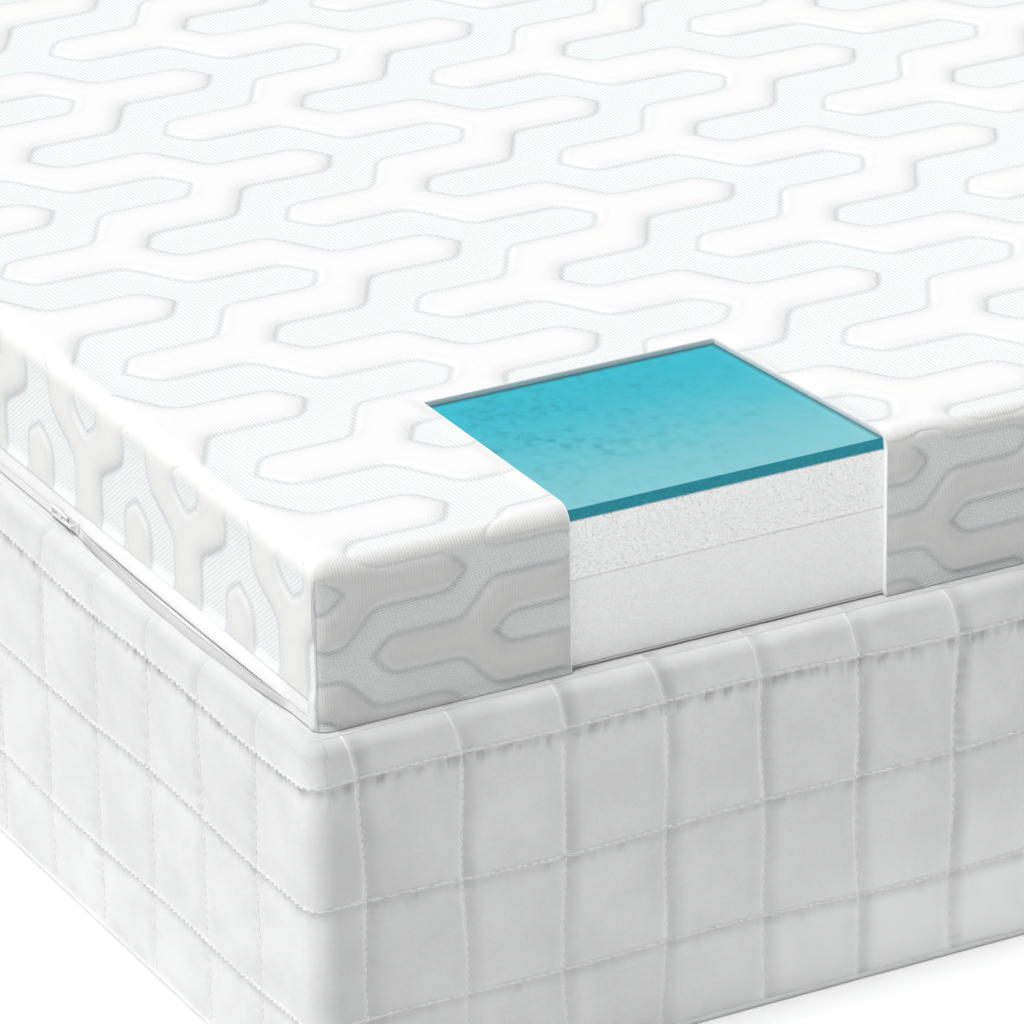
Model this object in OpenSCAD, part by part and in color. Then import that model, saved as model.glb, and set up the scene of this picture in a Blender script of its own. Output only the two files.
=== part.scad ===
// Memory foam mattress in two tiers: a quilted foam base, and a gel memory foam topper in a
// zip-off knitted cover that has a display window cut through one long side.
// +Z is up, the long side runs along X, and the origin is under the middle of the base.
// The topper's near long side, with the window, faces -Y, and its zip is along the foot, at -X.

/* [Size] */
// Length of the topper, along X
topper_l = 2032; // [1900:1:2140]
// Width of the topper, along Y
topper_w = 1524; // [960:1:1930]
// Thickness of the topper
topper_t = 102; // [96:1:130]
// Height of the base tier
base_h = 234; // [190:1:280]
// How far the base tier stands out past the topper on every side
lip = 14; // [8:1:20]
// Gap between the base tier and the topper, so that they stay two bodies
tier_gap = 0.3; // [0.2:0.1:1]

/* [Topper cover] */
// Thickness of the knitted outer fabric
knit_t = 1.5; // [1:0.1:2]
// Thickness of the wadding behind the knit
cover_wadding_t = 3.5; // [3:0.1:5]
// Thickness of the plain cloth under the topper
cover_base_t = 1.5; // [1:0.1:2]
// Radius of the cover's top edges
cover_edge_r = 12; // [10:0.5:14]

/* [Topper foam] */
// Thickness of the gel layer
gel_t = 6.5; // [4:0.5:12]
// Thickness of the memory foam layer
memory_t = 36; // [20:1:50]

/* [Display window] */
// Distance from the foot end of the topper to the window
window_x = 160; // [80:1:400]
// Length of the window, along X
window_l = 204; // [120:1:204]
// How far the window reaches in from the long side
window_d = 176; // [100:1:240]

/* [Zip] */
// Height of the zip's middle line above the underside of the topper
zip_z = 5.5; // [5.5:0.1:7]
// Bottom edge of the knit above the zip
knit_hem_z = 13.5; // [13:0.5:18]
// Distance from the near corner to the middle of the slider
slider_y = 320; // [60:1:1400]
// Length of the slider
slider_l = 20; // [16:1:26]

/* [Base tier] */
// Radius of the base tier's upright corners
base_corner_r = 12; // [12:1:60]
// Thickness of the border's quilted cloth
border_cloth_t = 1.5; // [1:0.1:2]
// Thickness of the border's wadding
border_wadding_t = 8; // [5:0.5:12]
// Thickness of the border's lining
border_lining_t = 1; // [0.6:0.1:1.5]
// Thickness of the comfort foam
comfort_t = 62; // [30:1:90]
// Thickness of the wadding under the top cloth
top_wadding_t = 6.5; // [4:0.5:12]
// Thickness of the top and bottom cloths
panel_cloth_t = 1.5; // [1:0.1:2]
// Width of the bound tapes along the top and bottom edges
edge_tape_w = 3; // [2:0.5:4]
// Distance from the outer face to the top tape
top_tape_inset = 2.5; // [2:0.5:4]

/* [Hidden] */
$fn = 96;
eps = 1;                        // how far a cutting shape runs past the face that it cuts

// Base tier
base_l = topper_l + 2 * lip;
base_w = topper_w + 2 * lip;
border_t = border_cloth_t + border_wadding_t + border_lining_t;
top_cloth_z = base_h - panel_cloth_t;
top_wadding_z = top_cloth_z - top_wadding_t;
comfort_z = top_wadding_z - comfort_t;
top_panel_inset = top_tape_inset + edge_tape_w;

// Topper, measured up from its own underside
topper_z = base_h + tier_gap;
cover_t = knit_t + cover_wadding_t;
foam_top_z = topper_t - cover_t;
gel_z = foam_top_z - gel_t;
memory_z = gel_z - memory_t;
face_x = -topper_l / 2;
near_y = -topper_w / 2;

// Zip: the tapes lie just behind the knit, and the tooth rows lie on both sides of their plane
tape_t = 0.6;
tooth_t = 1.6;                  // thickness of a tooth row, across the tape's plane
tooth_w = 2;                    // width of a tooth row, up the face
tooth_gap = 1.4;                // space between the two rows, where the slider's post runs
row_in = tooth_gap / 2;
row_out = row_in + tooth_w;
tape_x = face_x + knit_t + tape_t / 2;
tape_overlap = 4.5;             // how far the upper tape runs up behind the knit
tape_end = topper_w / 2 - cover_t;
wadding_hem_z = knit_hem_z + tape_overlap + 0.3;
base_cloth_end_x = tape_x + 2.4;
stop_margin = 1;                // from the end of the tapes to the stops
stop_l = 4;
bottom_stop_l = 5.5;
stop_gap = 0.5;                 // from a stop to the first tooth

// Slider and pull
slider_mid_y = near_y + slider_y;
plate_t = 1;
plate_in = 1.1;                 // from the tape's plane to a plate
plate_out = plate_in + plate_t;
plate_mouth_w = 8.4;
plate_exit_w = 7.6;
flange_in = row_out + 0.3;
flange_out = plate_exit_w / 2;
flange_gap = tape_t / 2 + 0.3;  // from the tape's plane to a flange
post_w = 0.7;
post_l = 4;
crown_l = 12;
crown_w = 2;
crown_leg = 1.2;
crown_h = 2;                    // clear height under the crown
crown_t = 1;
plate_x = tape_x - plate_out;   // outer face of the front plate
pin_r = 0.6;
pin_x = plate_x - pin_r - 0.3;
pin_y = slider_mid_y + 3.2;
pull_w = 6;
pull_arm_in = crown_w / 2 + 0.5;
pull_arm_out = 2.7;
pull_fork_l = 7;                // open fork that swings over the crown
pull_l = 22.3;
pull_window_y = 12.5;
pull_window_l = 7.5;
pull_window_w = 3.6;

// ---------------------------------------------------------------- shapes used more than once

// Upright slab with rounded corners, inset from the base tier's outline
module base_slab(inset, z0, z1) {
    l = base_l - 2 * inset;
    w = base_w - 2 * inset;
    r = max(base_corner_r - inset, 2);
    translate([0, 0, z0])
        linear_extrude(z1 - z0) {
            square([l - 2 * r, w], center = true);
            square([l, w - 2 * r], center = true);
            for (sx = [-1, 1], sy = [-1, 1])
                translate([sx * (l / 2 - r), sy * (w / 2 - r)])
                    circle(r);
        }
}

// Closed band that runs round the base tier between two insets
module base_ring(inset_out, inset_in, z0, z1) {
    difference() {
        base_slab(inset_out, z0, z1);
        base_slab(inset_in, z0 - eps, z1 + eps);
    }
}

// Cross-section of the topper with its two top corners rounded
module arched_profile(half_w, z0, z1, r) {
    translate([-half_w, z0])
        square([2 * half_w, z1 - r - z0]);
    translate([-half_w + r, z0])
        square([2 * (half_w - r), z1 - z0]);
    for (s = [-1, 1])
        translate([s * (half_w - r), z1 - r])
            circle(r);
}

// Topper block whose four top edges are rounded and whose upright corners are sharp
module soft_block(inset, z0, z1, r) {
    intersection() {
        rotate([90, 0, 0])
            linear_extrude(topper_w - 2 * inset, center = true)
                arched_profile(topper_l / 2 - inset, z0, z1, r);
        rotate([90, 0, 90])
            linear_extrude(topper_l - 2 * inset, center = true)
                arched_profile(topper_w / 2 - inset, z0, z1, r);
    }
}

// Square-cut foam sheet inside the cover
module foam_sheet(z0, z1) {
    l = topper_l - 2 * cover_t;
    w = topper_w - 2 * cover_t;
    translate([-l / 2, -w / 2, z0])
        cube([l, w, z1 - z0]);
}

module window_cut() {
    translate([face_x + window_x, near_y - eps, cover_base_t])
        cube([window_l, window_d + eps, topper_t]);
}

// Opening in the foot-end wall of one cover layer, from its lower edge up to a height
module zip_cut(end_inset, z) {
    half_w = topper_w / 2 - end_inset;
    translate([face_x - eps, -half_w, -eps])
        cube([cover_t + eps, 2 * half_w, z + eps]);
}

// Bar along the zip, given by its depth from the tape's plane and its height from the zip line
module zip_bar(x0, x1, y0, y1, z0, z1) {
    translate([tape_x + x0, y0, zip_z + z0])
        cube([x1 - x0, y1 - y0, z1 - z0]);
}

module tooth_row(z0) {
    zip_bar(-tooth_t / 2, tooth_t / 2, -tape_end + stop_margin + stop_l + stop_gap,
            tape_end - stop_margin - bottom_stop_l - stop_gap, z0, z0 + tooth_w);
}

// Plate that stands in the zip's plane, drawn as (along Y, up Z) and thickened along X
module upright_plate(x0, x1) {
    translate([x0, 0, 0])
        rotate([90, 0, 90])
            linear_extrude(x1 - x0)
                children();
}

module slider_outline() {
    half_l = slider_l / 2;
    chamfer = 1;
    polygon([
        [-half_l, -plate_mouth_w / 2 + chamfer], [-half_l + chamfer, -plate_mouth_w / 2],
        [0, -plate_mouth_w / 2], [half_l - chamfer, -plate_exit_w / 2],
        [half_l, -plate_exit_w / 2 + chamfer], [half_l, plate_exit_w / 2 - chamfer],
        [half_l - chamfer, plate_exit_w / 2], [0, plate_mouth_w / 2],
        [-half_l + chamfer, plate_mouth_w / 2], [-half_l, plate_mouth_w / 2 - chamfer]
    ]);
}

// ---------------------------------------------------------------- base tier

module base_bottom_cloth() {
    color("gainsboro")
        base_slab(edge_tape_w, 0, panel_cloth_t);
}

module bottom_edge_tape() {
    color("whitesmoke")
        base_ring(0, edge_tape_w, 0, panel_cloth_t);
}

module base_support_foam() {
    color("lightgray")
        base_slab(border_t, panel_cloth_t, comfort_z);
}

module base_comfort_foam() {
    color("ghostwhite")
        base_slab(border_t, comfort_z, top_wadding_z);
}

module base_top_wadding() {
    color("white")
        base_slab(border_t, top_wadding_z, top_cloth_z);
}

module base_top_cloth() {
    color("white")
        base_slab(top_panel_inset, top_cloth_z, base_h);
}

module top_edge_tape() {
    color("whitesmoke")
        base_ring(top_tape_inset, top_panel_inset, top_cloth_z, base_h);
}

module border_lining() {
    color("gainsboro")
        base_ring(border_cloth_t + border_wadding_t, border_t, panel_cloth_t, top_cloth_z);
}

module border_wadding() {
    color("white")
        base_ring(border_cloth_t, border_cloth_t + border_wadding_t, panel_cloth_t, top_cloth_z);
}

module border_quilt_cloth() {
    color("white") {
        base_ring(0, border_cloth_t, panel_cloth_t, base_h);
        base_ring(0, top_tape_inset, top_cloth_z, base_h);
    }
}

// ---------------------------------------------------------------- topper

module cover_base_cloth() {
    color("gainsboro")
        translate([base_cloth_end_x, near_y, topper_z])
            cube([topper_l / 2 - base_cloth_end_x, topper_w, cover_base_t]);
}

module support_foam_layer() {
    color("lightgray")
        translate([0, 0, topper_z])
            foam_sheet(cover_base_t, memory_z);
}

module memory_foam_layer() {
    color("white")
        translate([0, 0, topper_z])
            foam_sheet(memory_z, gel_z);
}

module gel_layer() {
    color("mediumturquoise")
        translate([0, 0, topper_z])
            foam_sheet(gel_z, foam_top_z);
}

module cover_wadding() {
    color("whitesmoke")
        translate([0, 0, topper_z])
            difference() {
                soft_block(knit_t, cover_base_t, topper_t - knit_t, cover_edge_r - knit_t);
                foam_sheet(0, foam_top_z);
                window_cut();
                zip_cut(cover_t, wadding_hem_z);
            }
}

module cover_knit() {
    color("white")
        translate([0, 0, topper_z])
            difference() {
                soft_block(0, cover_base_t, topper_t, cover_edge_r);
                soft_block(knit_t, 0, topper_t - knit_t, cover_edge_r - knit_t);
                window_cut();
                zip_cut(knit_t, knit_hem_z);
            }
}

// ---------------------------------------------------------------- zip

// The lower tape turns in under the zip to meet the cloth under the topper
module zip_tape_lower() {
    color("silver")
        translate([0, 0, topper_z]) {
            zip_bar(-tape_t / 2, tape_t / 2, -tape_end, tape_end, -zip_z, -row_out);
            zip_bar(-tape_t / 2, base_cloth_end_x - tape_x, -tape_end, tape_end,
                    -zip_z, -zip_z + tape_t);
        }
}

module zip_tape_upper() {
    color("white")
        translate([0, 0, topper_z])
            zip_bar(-tape_t / 2, tape_t / 2, -tape_end, tape_end,
                    row_out, knit_hem_z + tape_overlap - zip_z);
}

module zip_teeth_lower() {
    color("white")
        translate([0, 0, topper_z])
            tooth_row(-row_out);
}

module zip_teeth_upper() {
    color("white")
        translate([0, 0, topper_z])
            tooth_row(row_in);
}

// One stop at the end of each row, where the slider comes to rest when the zip is shut
module zip_top_stops() {
    y0 = -tape_end + stop_margin;
    color("silver")
        translate([0, 0, topper_z]) {
            zip_bar(-tooth_t / 2, tooth_t / 2, y0, y0 + stop_l, row_in, row_out);
            zip_bar(-tooth_t / 2, tooth_t / 2, y0, y0 + stop_l, -row_out, -row_in);
        }
}

// Joins both rows at the far end, where the slider rests when the zip is open
module zip_bottom_stop() {
    y1 = tape_end - stop_margin;
    color("silver")
        translate([0, 0, topper_z])
            zip_bar(-tooth_t / 2, tooth_t / 2, y1 - bottom_stop_l, y1, -row_out, row_out);
}

// Two plates that wrap the tooth rows, joined by a post between the rows, with a crown outside
module zip_slider() {
    half_l = slider_l / 2;
    color("lightgray")
        translate([tape_x, slider_mid_y, topper_z + zip_z]) {
            for (s = [-1, 1]) {
                upright_plate(min(s * plate_in, s * plate_out), max(s * plate_in, s * plate_out))
                    slider_outline();
                for (side = [-1, 1])
                    translate([s * (flange_gap + plate_in) / 2, 0,
                               side * (flange_in + flange_out) / 2])
                        cube([plate_in - flange_gap, slider_l - 2, flange_out - flange_in],
                             center = true);
            }
            translate([-plate_in, -half_l + 1, -post_w / 2])
                cube([2 * plate_in, post_l, post_w]);
            for (y = [-crown_l / 2, crown_l / 2 - crown_leg])
                translate([-plate_out - crown_h, y, -crown_w / 2])
                    cube([crown_h, crown_leg, crown_w]);
            translate([-plate_out - crown_h - crown_t, -crown_l / 2, -crown_w / 2])
                cube([crown_t, crown_l, crown_w]);
        }
}

// Forked tab that turns on a pin under the crown, and lies back along the closed zip at rest
module zip_pull() {
    color("gainsboro")
        translate([pin_x, pin_y, topper_z + zip_z]) {
            cylinder(r = pin_r, h = 2 * pull_arm_out, center = true);
            for (side = [-1, 1])
                translate([-pin_r, 0, side * (pull_arm_in + pull_arm_out) / 2
                           - (pull_arm_out - pull_arm_in) / 2])
                    cube([2 * pin_r, pull_fork_l, pull_arm_out - pull_arm_in]);
            difference() {
                translate([-pin_r, pull_fork_l, -pull_w / 2])
                    cube([2 * pin_r, pull_l - pull_fork_l, pull_w]);
                translate([-pin_r - eps, pull_window_y, -pull_window_w / 2])
                    cube([2 * (pin_r + eps), pull_window_l, pull_window_w]);
            }
        }
}

base_bottom_cloth();
bottom_edge_tape();
base_support_foam();
base_comfort_foam();
base_top_wadding();
base_top_cloth();
top_edge_tape();
border_lining();
border_wadding();
border_quilt_cloth();
cover_base_cloth();
support_foam_layer();
memory_foam_layer();
gel_layer();
cover_wadding();
cover_knit();
zip_tape_lower();
zip_tape_upper();
zip_teeth_lower();
zip_teeth_upper();
zip_top_stops();
zip_bottom_stop();
zip_slider();
zip_pull();
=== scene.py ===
"""Looks of a two-tier memory foam mattress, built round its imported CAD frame.

The topper's knitted cover, its display window, its foams and its open zip, and the quilted base
tier are made here. Everything is in metres in the CAD frame. "Corner" is the topper's near foot
corner at its underside: x runs from it along the near long side, y across the foot and z up.
"""
import math

import bpy
import numpy as np
from mathutils import Euler, Matrix, Vector


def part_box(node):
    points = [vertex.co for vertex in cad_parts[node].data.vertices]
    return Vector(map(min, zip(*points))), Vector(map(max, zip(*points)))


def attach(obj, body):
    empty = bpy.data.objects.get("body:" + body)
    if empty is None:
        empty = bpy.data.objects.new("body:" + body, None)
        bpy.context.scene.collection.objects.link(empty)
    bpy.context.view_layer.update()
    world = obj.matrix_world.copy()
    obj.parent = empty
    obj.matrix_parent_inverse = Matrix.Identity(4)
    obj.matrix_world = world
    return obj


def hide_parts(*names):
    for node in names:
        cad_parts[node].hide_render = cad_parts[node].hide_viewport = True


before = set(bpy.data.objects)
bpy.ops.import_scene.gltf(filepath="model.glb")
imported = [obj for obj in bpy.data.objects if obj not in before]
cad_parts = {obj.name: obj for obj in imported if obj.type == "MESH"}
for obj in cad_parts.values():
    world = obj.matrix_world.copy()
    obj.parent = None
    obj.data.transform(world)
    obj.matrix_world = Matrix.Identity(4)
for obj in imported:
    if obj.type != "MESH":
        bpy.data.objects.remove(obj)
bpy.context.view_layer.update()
scene = bpy.context.scene
MM = 0.001
UP = np.array([0.0, 0.0, 1.0])

# ---------------------------------------------------------------- sizes, from the frame
knit_lo, knit_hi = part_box("cover_knit")
quilt_lo, quilt_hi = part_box("border_quilt_cloth")
CORNER = np.array([knit_lo.x, knit_lo.y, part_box("cover_base_cloth")[0].z])
TOPPER_L = knit_hi.x - knit_lo.x
TOPPER_W = knit_hi.y - knit_lo.y
TOPPER_T = knit_hi.z - CORNER[2]
COVER_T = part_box("gel_layer")[0].x - knit_lo.x
BASE_L = quilt_hi.x - quilt_lo.x
BASE_W = quilt_hi.y - quilt_lo.y
BASE_H = quilt_hi.z

# The window, the zip and the edges, as in the CAD source but where a line says otherwise
WINDOW_X = 160 * MM
WINDOW_L = 204 * MM
WINDOW_D = 176 * MM
WINDOW_FLARE = 3 * MM           # the right-hand cut leans: out at the long side,
WINDOW_TAPER = 10 * MM          # and in at the back
EDGE_R = 12 * MM
HEM_Z = 0.15 * MM
ZIP_HEM_Z = 18 * MM             # the knit's hem over the zip, higher than in CAD
BASE_CORNER_R = 12 * MM


# ---------------------------------------------------------------- camera and light
def make_camera():
    """Looks down on the near foot corner, a little turned about its own axis."""
    azimuth, pitch, roll = (math.radians(d) for d in (-28.0845, 23.7532, -0.882))
    data = bpy.data.cameras.new("camera")
    data.lens = 231.96
    data.clip_start = 0.1
    data.clip_end = 30
    cam = bpy.data.objects.new("camera", data)
    scene.collection.objects.link(cam)
    place = Vector(CORNER) + Vector((-1.44523, -2.94004, 1.57357))
    turn = Euler((math.pi / 2 - pitch, 0, azimuth)).to_matrix().to_4x4()
    cam.matrix_world = Matrix.Translation(place) @ turn @ Matrix.Rotation(roll, 4, "Z")
    scene.camera = cam


def make_light():
    """A wide soft key from above the foot end, and an even pale surround."""
    scene.view_settings.view_transform = "Standard"
    world = bpy.data.worlds.new("studio")
    world.use_nodes = True
    surround = world.node_tree.nodes["Background"]
    surround.inputs["Color"].default_value = (0.97, 0.985, 1.0, 1)
    surround.inputs["Strength"].default_value = 0.24
    scene.world = world
    key = bpy.data.lights.new("key", "SUN")
    key.energy = 2.95
    key.angle = math.radians(34)
    lamp = bpy.data.objects.new("key", key)
    scene.collection.objects.link(lamp)
    lamp.rotation_mode = "QUATERNION"
    lamp.rotation_quaternion = Vector((-0.40, -0.015, 0.91)).to_track_quat("Z", "Y")


make_camera()
make_light()


# ---------------------------------------------------------------- shader helpers
class Value:
    """A value in a shader. Arithmetic on it makes math nodes."""

    def __init__(self, shade, socket):
        self.shade = shade
        self.socket = socket

    def __add__(self, other):
        return self.shade.math("ADD", self, other)

    def __sub__(self, other):
        return self.shade.math("SUBTRACT", self, other)

    def __rsub__(self, other):
        return self.shade.math("SUBTRACT", other, self)

    def __mul__(self, other):
        return self.shade.math("MULTIPLY", self, other)


class Shade:
    """A node material, built by short calls. Inputs are numbers, greys, colours or values."""

    def __init__(self, name, roughness=0.85, sheen=0.0, specular=0.3, glow=0.0):
        self.material = bpy.data.materials.new(name)
        self.material.use_nodes = True
        self.nodes = self.material.node_tree.nodes
        self.links = self.material.node_tree.links
        self.bsdf = self.nodes["Principled BSDF"].inputs
        # glow is painted light: an emission from a surface that is no lamp
        for socket, value in (("Roughness", roughness), ("Sheen Weight", sheen),
                              ("Sheen Roughness", 0.5), ("Specular IOR Level", specular),
                              ("Emission Color", (1, 1, 1, 1)), ("Emission Strength", glow)):
            self.bsdf[socket].default_value = value

    def plug(self, socket, value):
        if isinstance(value, Value):
            self.links.new(value.socket, socket)
        elif socket.type == "RGBA":
            colour = value if isinstance(value, tuple) else (value, value, value)
            socket.default_value = (*colour, 1)
        else:
            socket.default_value = value

    def add(self, kind, out=0, settings=(), inputs=()):
        """A node with settings and with inputs by name or number. Gives one of its outputs."""
        node = self.nodes.new(kind)
        for name, value in settings:
            setattr(node, name, value)
        for key, value in inputs:
            self.plug(node.inputs[key], value)
        return Value(self, node.outputs[out])

    def math(self, operation, *values, clamp=False):
        return self.add("ShaderNodeMath", settings=[("operation", operation), ("use_clamp", clamp)],
                        inputs=enumerate(values))

    def larger(self, a, b):
        return self.math("MAXIMUM", a, b)

    def smaller(self, a, b):
        return self.math("MINIMUM", a, b)

    def mix(self, share, a, b):
        return self.add("ShaderNodeMix", out=2, settings=[("data_type", "RGBA")],
                        inputs=((0, share), (6, a), (7, b)))

    def lerp(self, share, a, b):
        return self.add("ShaderNodeMix", inputs=((0, share), (2, a), (3, b)))

    def step(self, value, low, high, to_low=0.0, to_high=1.0):
        """Smooth step from low to high."""
        return self.add("ShaderNodeMapRange", settings=[("interpolation_type", "SMOOTHSTEP")],
                        inputs=enumerate((value, low, high, to_low, to_high)))

    def point(self):
        return self.add("ShaderNodeTexCoord", out=3)

    def attribute(self, name, out=2):
        return self.add("ShaderNodeAttribute", out=out, settings=[("attribute_name", name)])

    def split(self, vector):
        node = self.nodes.new("ShaderNodeSeparateXYZ")
        self.plug(node.inputs[0], vector)
        return [Value(self, output) for output in node.outputs]

    def parts(self, name):
        """The three parts of a vector attribute."""
        return self.split(self.attribute(name, out=1))

    def noise(self, scale, detail=2.0, vector=None):
        return self.add("ShaderNodeTexNoise", inputs=(("Vector", vector or self.point()),
                                                      ("Scale", scale), ("Detail", detail)))

    def wave(self, value, pitch):
        """Sine of a length, from -1 to 1, once each pitch."""
        return self.math("SINE", value * (2 * math.pi / pitch))

    def line(self, distance, centre, width):
        """1 on a soft line at a signed distance, falling to 0 about a width away."""
        off = self.math("DIVIDE", distance - centre, width)
        return self.math("EXPONENT", off * off * -1.0)

    def finish(self, colour, height=None, distance=1 * MM, strength=1.0):
        self.plug(self.bsdf["Base Color"], colour)
        if height is not None:
            bump = self.add("ShaderNodeBump", inputs=(("Height", height), ("Distance", distance),
                                                      ("Strength", strength)))
            self.plug(self.bsdf["Normal"], bump)
        return self.material


# ---------------------------------------------------------------- materials
def knit_material():
    """Double knit: smooth ribs with fine wales, a netted ground, and a stitched line between, with
    painted shade along the rib edges.
    """
    s = Shade("knit", roughness=0.9, sheen=0.15, specular=0.2)
    rib = s.attribute("rib")
    u, v, _ = s.parts("cloth")
    near, foot, roll = s.parts("blend")
    on_rib = s.larger(s.step(rib, -0.8 * MM, 0.8 * MM), s.step(roll, 0.45, 0.95))
    groove = s.line(rib, -0.8 * MM, 2.0 * MM)
    second = s.line(rib, 4.6 * MM, 4.0 * MM)
    net_top = s.wave(u + v, 5.4 * MM) * s.wave(u - v, 5.4 * MM)
    net_near = s.wave(u * 0.45 + v * 0.9, 2.4 * MM) * s.wave(u - v, 4.2 * MM)
    breaks = s.step(s.wave(v * 0.8 - u * 0.6, 3.2 * MM), -1.0, 0.6, 0.10, 0.48)
    net_foot = s.wave(u * 0.8 + v * 0.6, 2.4 * MM) * breaks
    net = s.lerp(foot, s.lerp(near, net_top, net_near), net_foot)
    wale = s.lerp(foot, s.wave(u, 1.9 * MM), s.wave(v, 1.9 * MM))
    loops = s.lerp(foot, s.wave(v, 1.3 * MM), s.wave(u, 1.3 * MM))
    surface = s.lerp(on_rib, net * 0.5, wale * 0.16 + loops * 0.06)
    holes = (1.0 - on_rib) * s.step(net, -0.15, -0.9)
    blotch = s.noise(9.0, 3.0)
    side = s.math("ADD", near, foot, clamp=True)
    # The sides' rib, ground and hole colours are darker copies of the top's: painted shade on the
    # upright faces
    top_rib = s.mix(blotch, (0.925, 0.925, 0.91), (0.945, 0.945, 0.94))
    side_rib = s.mix(blotch, (0.815, 0.815, 0.795), (0.835, 0.835, 0.825))
    ground = s.mix(foot, (0.925, 0.940, 0.938), (0.845, 0.860, 0.858))
    hole = s.mix(foot, (0.84, 0.865, 0.87), (0.80, 0.82, 0.825))
    cloth = s.mix(on_rib, s.mix(holes, ground, hole), s.mix(side, top_rib, side_rib))
    # Painted shade: grey lines along each rib's edge and a fainter one just inside it, faded on the
    # rolled edge
    shade = s.larger(groove, second * 0.28) * s.step(roll, 0.85, 0.15) * s.lerp(side, 0.46, 0.62)
    colour = s.mix(shade, cloth, (0.60, 0.615, 0.63))
    # Painted shade: the near long side is darker still
    colour = s.mix(near * 0.23, colour, (0.27, 0.27, 0.262))
    height = surface - groove * 1.2 + s.noise(700.0, 2.0) * 0.25
    return s.finish(colour, height, distance=0.5 * MM, strength=0.8)


def tone_of(s, mottle=22.0):
    """Uneven tone of a brushed cloth, in broad patches and in fine ones."""
    return s.step(s.noise(mottle, 4.0) * 0.75 + s.noise(420.0, 2.0) * 0.25, 0.3, 0.7)


def woven_material(name, dark, light, pitch=0.9 * MM, mottle=22.0):
    """Plain brushed cloth: a fine cross weave under a soft nap, with a faint uneven tone."""
    s = Shade(name, roughness=0.9, sheen=0.2, specular=0.2)
    x, y, z = s.split(s.point())
    weave = s.wave(x + y, pitch) * s.wave(z, pitch) + s.wave(x - y, pitch * 1.4) * 0.5
    return s.finish(s.mix(tone_of(s, mottle), dark, light), weave + s.noise(1500.0, 3.0) * 2.0,
                    distance=0.16 * MM, strength=0.7)


def quilt_material():
    """Quilted border cloth: each seam is a ridge with a painted highlight, with painted shade in the
    soft fold and the puckers past it.
    """
    s = Shade("quilt_cloth", roughness=0.9, sheen=0.2, specular=0.2)
    run, rise, _ = s.parts("cloth")
    past, below, puckered = s.parts("seam")
    upright, level, _ = s.parts("seam_share")
    cloth = s.mix(tone_of(s), (0.775, 0.775, 0.777), (0.86, 0.86, 0.862))
    front = s.step(run, -3 * MM, 5 * MM)
    # The grey that all the painted shade on this cloth mixes towards
    painted_shade_grey = (0.52, 0.52, 0.525)
    # Painted shade on the near side by the corner
    cloth = s.mix(s.step(run, 85 * MM, 15 * MM) * front * 0.26, cloth, painted_shade_grey)
    # Painted light: lighter low down towards the floor, rising from 0.16 m to 0.42 m past the near
    # corner
    cloth = s.mix(s.step(run, 0.16, 0.42) * s.step(rise, 120 * MM, 5 * MM), cloth, 1.0)
    # Painted shadow on the lip under the topper's edge, deeper at the foot than along the front
    shoulder = s.step(rise, BASE_H - 14 * MM, BASE_H - 2 * MM)
    cloth = s.mix(shoulder * s.lerp(front, 0.32, 0.10), cloth, painted_shade_grey)
    # Painted highlight on the ridges of the seams and rows, which are also raised in the bump
    ridge = s.larger(s.line(past, -1.1 * MM, 1.1 * MM) * s.smaller(upright, 1.0),
                     s.line(below, -0.9 * MM, 1.0 * MM) * level)
    # Painted shade in the fold past each upright seam, below each row and in the puckers
    fold = s.step(past, -0.2 * MM, 1.6 * MM) * s.step(past, 14 * MM, 1 * MM) * upright
    fold = fold * s.step(s.noise(16.0, 2.0), 0.25, 0.7, 0.35, 1.0)
    under = s.step(below, -0.1 * MM, 0.9 * MM) * s.step(below, 9 * MM, 0.6 * MM) * level
    along = s.add("ShaderNodeCombineXYZ", inputs=((0, run), (1, rise * 0.15)))
    gathers = s.step(s.noise(105.0, 1.0, along), 0.50, 0.66) * level * puckered
    gathers = gathers * s.step(below, 0.3 * MM, 2 * MM) * s.step(below, 12 * MM, 2 * MM)
    shade = s.math("ADD", fold * 0.72 + under * 0.30, gathers * 0.55, clamp=True)
    colour = s.mix(ridge * 0.6, s.mix(shade, cloth, painted_shade_grey), 0.97)
    weave = s.wave(run, 0.9 * MM) * s.wave(rise, 0.9 * MM)
    height = weave * 0.12 + s.noise(1500.0, 3.0) * 0.25 + ridge * 1.2 - gathers * 1.6
    return s.finish(colour, height, distance=0.8 * MM, strength=0.7)


def tape_material(name, dark, light, glow=0.0):
    """Zip tape: cross ribs with a finer warp. It is white but where the zip gapes, and there the lower
    tape's grey is painted shade.
    """
    s = Shade(name, roughness=0.75, sheen=0.1, specular=0.3, glow=glow)
    _, y, z = s.split(s.point())
    ribs = s.wave(y, 1.0 * MM)
    colour = s.mix(s.step(ribs, -1.0, 0.4), dark, light)
    # Plain white where shut; where the zip gapes the given colours show, painted shade on the lower
    # tape
    colour = s.mix(s.step(s.attribute("gape"), 0.0, 0.25), 0.92, colour)
    return s.finish(colour, ribs + s.wave(z, 0.7 * MM) * 0.35, distance=0.14 * MM, strength=0.8)


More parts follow.
